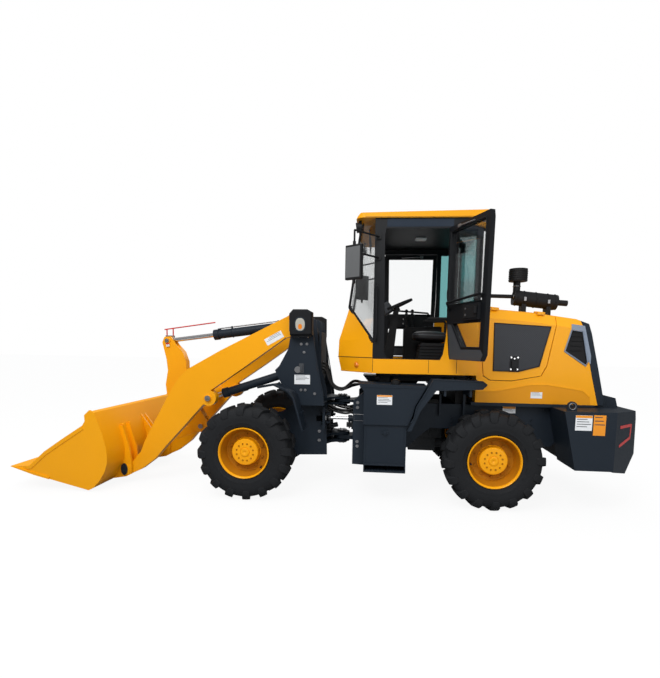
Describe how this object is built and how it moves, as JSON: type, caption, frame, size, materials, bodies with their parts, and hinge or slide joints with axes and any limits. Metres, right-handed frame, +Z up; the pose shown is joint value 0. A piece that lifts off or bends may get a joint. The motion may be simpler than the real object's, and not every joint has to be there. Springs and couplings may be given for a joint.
{
  "type": "wheel loader",
  "caption": "Compact articulated wheel loader with glazed cab, opened side door, loader arms, crank linkage and flat-edged digging bucket.",
  "frame": {"origin": "On the ground, midway across the machine, straight below the articulation pin.", "axes": "X points forward to the bucket, Y to the left side, Z up."},
  "size_m": [6.379, 2.2727, 2.8691],
  "materials": {
    "body_yellow": "satin",
    "chassis_dark": "satin",
    "engine_grey": "matte",
    "cab_black": "satin",
    "black_plastic": "matte",
    "chrome_rod": "polished",
    "tyre_rubber": "matte",
    "tinted_glass": "polished",
    "seat_fabric": "matte",
    "marker_red": "satin"
  },
  "bodies": {
    "rear_chassis": {"air_cleaner": "black_plastic", "cab_floor": "cab_black", "cab_frame": "cab_black", "cab_lower": "body_yellow", "cab_nose": "body_yellow", "cab_roof": "body_yellow", "cab_windows": "tinted_glass", "control_console": "black_plastic", "counterweight": "chassis_dark", "engine_block": "engine_grey", "gearbox": "engine_grey", "hood": "body_yellow", "mirrors": "black_plastic", "rear_axle": "chassis_dark", "rear_fenders": "chassis_dark", "rear_frame": "chassis_dark", "rear_grille": "black_plastic", "rear_shaft": "chassis_dark", "seat": "seat_fabric", "seat_base": "black_plastic", "side_box_left": "chassis_dark", "side_box_right": "chassis_dark", "side_vents": "black_plastic", "steering_column": "black_plastic", "windscreen": "tinted_glass", "work_lamps": "black_plastic"},
    "front_chassis": {"front_frame": "chassis_dark", "front_axle": "chassis_dark", "front_fenders": "chassis_dark", "headlamps": "black_plastic", "front_shaft": "chassis_dark"},
    "boom": {"boom": "body_yellow"},
    "bellcrank": {"bellcrank": "body_yellow"},
    "link": {"link": "body_yellow"},
    "bucket": {"bucket": "body_yellow"},
    "lift_barrels": {"lift_barrels": "chassis_dark"},
    "lift_rods": {"lift_rods": "chrome_rod"},
    "tilt_barrel": {"tilt_barrel": "chassis_dark"},
    "tilt_rod": {"tilt_rod": "chrome_rod", "level_marker": "marker_red"},
    "left_door": {"left_door": "cab_black", "left_door_glass": "tinted_glass"},
    "right_door": {"right_door": "cab_black", "right_door_glass": "tinted_glass"},
    "hood_door_left": {"hood_door_left": "body_yellow"},
    "hood_door_right": {"hood_door_right": "body_yellow"},
    "wheel_front_left": {"tyre_front_left": "tyre_rubber", "rim_front_left": "body_yellow"},
    "wheel_front_right": {"tyre_front_right": "tyre_rubber", "rim_front_right": "body_yellow"},
    "wheel_rear_left": {"tyre_rear_left": "tyre_rubber", "rim_rear_left": "body_yellow"},
    "wheel_rear_right": {"tyre_rear_right": "tyre_rubber", "rim_rear_right": "body_yellow"},
    "steer_barrel_left": {"steer_barrel_left": "chassis_dark"},
    "steer_rod_left": {"steer_rod_left": "chrome_rod"},
    "steer_barrel_right": {"steer_barrel_right": "chassis_dark"},
    "steer_rod_right": {"steer_rod_right": "chrome_rod"}
  },
  "joints": [
    {"name": "steering", "type": "hinge", "parent": "rear_chassis", "child": "front_chassis", "pos_m": [0, 0, 0.7], "axis": [0, 0, 1], "range_deg": [-35, 35]},
    {"name": "wheel_front_left_roll", "type": "hinge", "parent": "front_chassis", "child": "wheel_front_left", "pos_m": [0.9, 0.75, 0.48], "axis": [0, 1, 0], "continuous": true},
    {"name": "wheel_front_right_roll", "type": "hinge", "parent": "front_chassis", "child": "wheel_front_right", "pos_m": [0.9, -0.75, 0.48], "axis": [0, 1, 0], "continuous": true},
    {"name": "wheel_rear_left_roll", "type": "hinge", "parent": "rear_chassis", "child": "wheel_rear_left", "pos_m": [-1.53, 0.75, 0.48], "axis": [0, 1, 0], "continuous": true},
    {"name": "wheel_rear_right_roll", "type": "hinge", "parent": "rear_chassis", "child": "wheel_rear_right", "pos_m": [-1.53, -0.75, 0.48], "axis": [0, 1, 0], "continuous": true},
    {"name": "boom_lift", "type": "hinge", "parent": "front_chassis", "child": "boom", "pos_m": [0.39, 0, 1.765], "axis": [0, -1, 0], "range_deg": [0, 68]},
    {"name": "bucket_tilt", "type": "hinge", "parent": "boom", "child": "bucket", "pos_m": [2.35, 0, 0.155], "axis": [0, -1, 0], "range_deg": [-105, 20]},
    {"name": "bellcrank_swing", "type": "hinge", "parent": "boom", "child": "bellcrank", "pos_m": [1.94, 0, 0.96], "axis": [0, -1, 0], "range_deg": [-7.65, 39.95]},
    {"name": "link_swing", "type": "hinge", "parent": "bellcrank", "child": "link", "pos_m": [1.682, 0, 0.575], "axis": [0, -1, 0], "range_deg": [-41, 7.85]},
    {"name": "lift_barrel_swing", "type": "hinge", "parent": "front_chassis", "child": "lift_barrels", "pos_m": [0.43, 0, 1.299], "axis": [0, -1, 0], "range_deg": [0, 64.55]},
    {"name": "lift_rod_slide", "type": "slide", "parent": "lift_barrels", "child": "lift_rods", "axis": [0.9478, 0, -0.3188], "range_m": [0, 0.518]},
    {"name": "tilt_barrel_swing", "type": "hinge", "parent": "front_chassis", "child": "tilt_barrel", "pos_m": [0.455, 0, 1.8], "axis": [0, -1, 0], "range_deg": [0, 70.97]},
    {"name": "tilt_rod_slide", "type": "slide", "parent": "tilt_barrel", "child": "tilt_rod", "axis": [0.9908, 0, -0.1355], "range_m": [-0.4128, 0.079]},
    {"name": "steer_barrel_left_swing", "type": "hinge", "parent": "rear_chassis", "child": "steer_barrel_left", "pos_m": [-0.56, 0.29, 0.76], "axis": [0, 0, 1], "range_deg": [-8.28, 8.28]},
    {"name": "steer_rod_left_slide", "type": "slide", "parent": "steer_barrel_left", "child": "steer_rod_left", "axis": [0.9996, -0.0274, 0], "range_m": [-0.1715, 0.1715]},
    {"name": "steer_barrel_right_swing", "type": "hinge", "parent": "rear_chassis", "child": "steer_barrel_right", "pos_m": [-0.56, -0.29, 0.76], "axis": [0, 0, 1], "range_deg": [-8.28, 8.28]},
    {"name": "steer_rod_right_slide", "type": "slide", "parent": "steer_barrel_right", "child": "steer_rod_right", "axis": [0.9996, 0.0274, 0], "range_m": [-0.1715, 0.1715]},
    {"name": "left_door_swing", "type": "hinge", "parent": "rear_chassis", "child": "left_door", "pos_m": [-1.104, 0.652, 2.06], "axis": [0, 0, 1], "range_deg": [-112, 0]},
    {"name": "right_door_swing", "type": "hinge", "parent": "rear_chassis", "child": "right_door", "pos_m": [-1.104, -0.652, 2.06], "axis": [0, 0, -1], "range_deg": [0, 112]},
    {"name": "hood_door_left_lift", "type": "hinge", "parent": "rear_chassis", "child": "hood_door_left", "pos_m": [-1.55, 0.488, 1.9603], "axis": [0.996, 0, 0.0894], "range_deg": [0, 70]},
    {"name": "hood_door_right_lift", "type": "hinge", "parent": "rear_chassis", "child": "hood_door_right", "pos_m": [-1.55, -0.488, 1.9603], "axis": [-0.996, 0, -0.0894], "range_deg": [0, 70]}
  ],
  "couplings": [
    {"joint": "bellcrank_swing", "follows": "bucket_tilt", "ratio": -0.38},
    {"joint": "link_swing", "follows": "bucket_tilt", "ratio": 0.39},
    {"joint": "tilt_rod_slide", "follows": "bucket_tilt", "m_per_rad": 0.225},
    {"joint": "lift_barrel_swing", "follows": "boom_lift", "ratio": 0.9485},
    {"joint": "lift_rod_slide", "follows": "boom_lift", "m_per_rad": 0.436},
    {"joint": "tilt_barrel_swing", "follows": "boom_lift", "ratio": 1.043},
    {"joint": "steer_barrel_left_swing", "follows": "steering", "ratio": 0.235},
    {"joint": "steer_barrel_right_swing", "follows": "steering", "ratio": 0.235},
    {"joint": "steer_rod_left_slide", "follows": "steering", "m_per_rad": -0.28},
    {"joint": "steer_rod_right_slide", "follows": "steering", "m_per_rad": 0.28}
  ]
}
